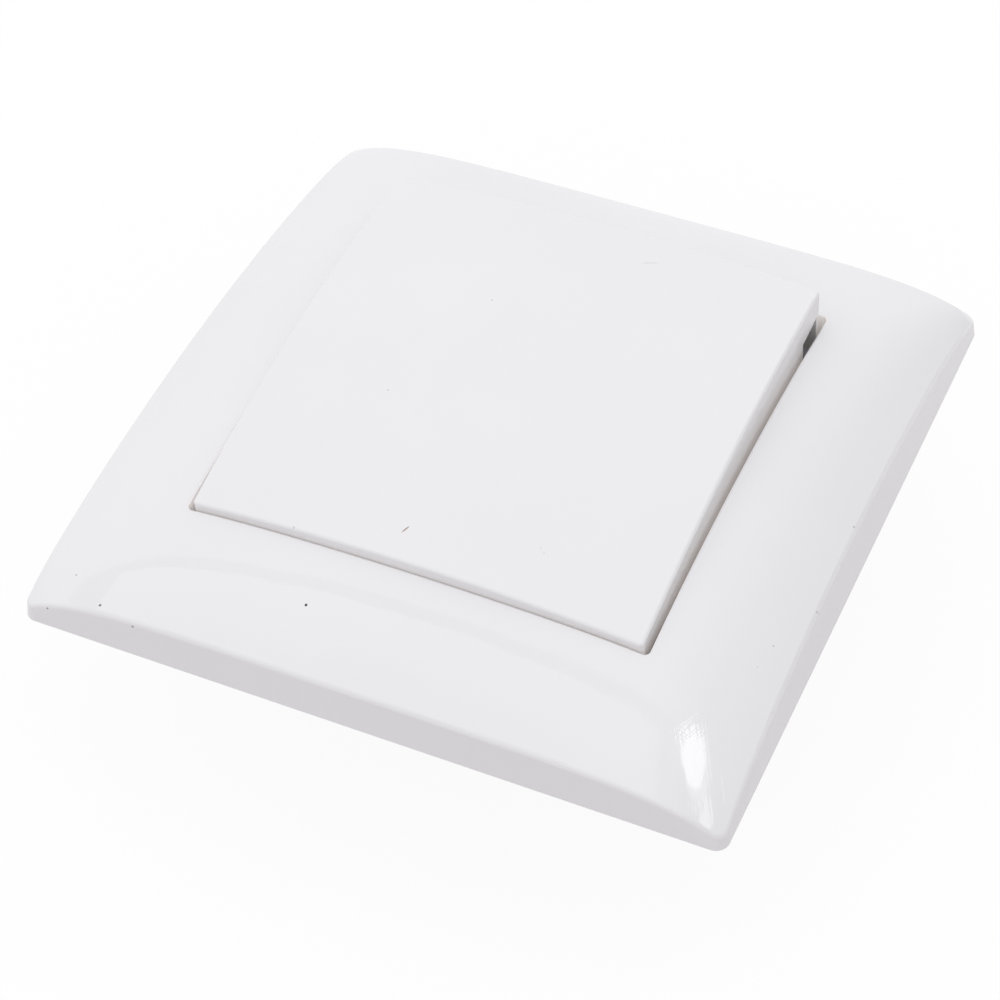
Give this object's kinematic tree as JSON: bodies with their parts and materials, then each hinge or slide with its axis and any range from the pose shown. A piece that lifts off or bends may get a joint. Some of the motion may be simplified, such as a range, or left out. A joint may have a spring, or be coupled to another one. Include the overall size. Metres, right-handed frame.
{
  "type": "light switch",
  "caption": "Flush wall light switch: a domed square white cover frame round a wide tilting rocker, on a steel plate that carries a contact housing with spreading claws behind.",
  "frame": {"origin": "middle of the wall plane, where the cover frame's rim and the support plate's back stand", "axes": "+X along the rocker's hinge to the right, +Y up the wall, +Z out of the wall into the room"},
  "size_m": [0.085, 0.085, 0.0408],
  "materials": {
    "white_gloss": "glossy moulded white",
    "inner_plastic": "fine matt moulding",
    "carrier_plastic": "fine matt moulding",
    "housing_plastic": "fine matt moulding",
    "zinc_plate": "zinc plated sheet",
    "screw_steel": "zinc plated, turned",
    "spring_steel": "drawn wire",
    "contact_brass": "rolled strip",
    "contact_silver": "silver rivet"
  },
  "bodies": {
    "base": {"cover_frame": "white_gloss", "pivot_carrier": "carrier_plastic", "support_plate": "zinc_plate", "housing": "housing_plastic", "common_strip": "contact_brass", "common_pillar": "contact_brass", "load_strip": "contact_brass", "fixed_contact_tip": "contact_silver", "load_pillar": "contact_brass", "terminal_screws": "screw_steel", "carrier_screws": "screw_steel", "claw_pins": "screw_steel"},
    "rocker": {"rocker": "white_gloss", "dolly": "inner_plastic", "plunger_spring": "spring_steel"},
    "plunger": {"plunger": "inner_plastic"},
    "contact": {"moving_contact": "contact_brass", "moving_contact_tip": "contact_silver"},
    "claw_left": {"claw_left": "zinc_plate"},
    "claw_right": {"claw_right": "zinc_plate"},
    "claw_nut_left": {"claw_nut_left": "screw_steel"},
    "claw_nut_right": {"claw_nut_right": "screw_steel"},
    "claw_screw_left": {"claw_screw_left": "screw_steel"},
    "claw_screw_right": {"claw_screw_right": "screw_steel"}
  },
  "joints": [
    {"name": "rocker_tip", "type": "hinge", "parent": "base", "child": "rocker", "pos_m": [0, 0, 0.0055], "axis": [1, 0, 0], "range_deg": [-8.8, 0]},
    {"name": "contact_rock", "type": "hinge", "parent": "base", "child": "contact", "pos_m": [0, 0, -0.0074], "axis": [1, 0, 0], "range_deg": [0, 15.8]},
    {"name": "plunger_slide", "type": "slide", "parent": "rocker", "child": "plunger", "axis": [0, -0.0767, 0.9971], "range_m": [0, 0.001], "stiffness_N_per_m": 300, "springref_m": -0.003, "deforming": ["plunger_spring"]},
    {"name": "claw_left_swing", "type": "hinge", "parent": "base", "child": "claw_left", "pos_m": [-0.0178, 0, -0.0055], "axis": [0, 1, 0], "range_deg": [0, 22]},
    {"name": "claw_right_swing", "type": "hinge", "parent": "base", "child": "claw_right", "pos_m": [0.0178, 0, -0.0055], "axis": [0, -1, 0], "range_deg": [0, 22]},
    {"name": "claw_nut_left_lift", "type": "slide", "parent": "base", "child": "claw_nut_left", "axis": [0, 0, 1], "range_m": [0, 0.00177]},
    {"name": "claw_nut_right_lift", "type": "slide", "parent": "base", "child": "claw_nut_right", "axis": [0, 0, 1], "range_m": [0, 0.00177]},
    {"name": "claw_screw_left_turn", "type": "hinge", "parent": "base", "child": "claw_screw_left", "pos_m": [-0.0228, 0, 0], "axis": [0, 0, 1], "range_deg": [-1273.5, 0]},
    {"name": "claw_screw_right_turn", "type": "hinge", "parent": "base", "child": "claw_screw_right", "pos_m": [0.0228, 0, 0], "axis": [0, 0, 1], "range_deg": [-1273.5, 0]}
  ],
  "couplings": [
    {"joint": "contact_rock", "follows": "rocker_tip", "ratio": -1.795},
    {"joint": "claw_left_swing", "follows": "claw_nut_left_lift", "rad_per_m": 217},
    {"joint": "claw_screw_left_turn", "follows": "claw_nut_left_lift", "rad_per_m": -12566},
    {"joint": "claw_right_swing", "follows": "claw_nut_right_lift", "rad_per_m": 217},
    {"joint": "claw_screw_right_turn", "follows": "claw_nut_right_lift", "rad_per_m": -12566}
  ]
}
